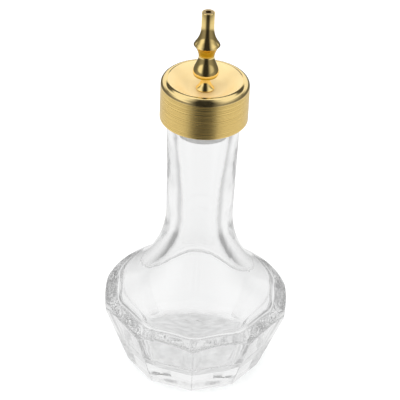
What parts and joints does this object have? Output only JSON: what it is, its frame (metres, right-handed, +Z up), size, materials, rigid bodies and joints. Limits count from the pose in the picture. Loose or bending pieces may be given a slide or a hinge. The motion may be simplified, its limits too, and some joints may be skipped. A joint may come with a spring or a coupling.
{
  "type": "bitters bottle",
  "caption": "Small faceted glass bitters bottle with a long neck and a gold-plated dasher top that lifts off: turned pouring spout above, ribbed plug below.",
  "frame": {"origin": "centre of the base, on the surface the bottle stands on", "axes": "+Z up along the bottle's axis; -Y faces the camera of the picture, and a ridge between two facets points along -Y"},
  "size_m": [0.0586, 0.0604, 0.1255],
  "materials": {
    "clear_glass": "fire-polished clear",
    "gold_brushed": "gold-plated, turned satin skirt and top with a polished edge",
    "gold_polished": "gold-plated and polished",
    "red_rubber": "matte",
    "plain_brass": "as machined",
    "white_plastic": "matte moulded"
  },
  "bodies": {
    "bottle": {"glass_bottle": "clear_glass"},
    "dasher_top": {"cap_shell": "gold_brushed", "dasher_spout": "gold_polished", "sealing_washer": "red_rubber", "spout_nut": "plain_brass", "stopper_plug": "white_plastic"}
  },
  "joints": [
    {"name": "dasher_lift", "type": "slide", "parent": "bottle", "child": "dasher_top", "axis": [0, 0, 1], "range_m": [0, 0.03]}
  ]
}
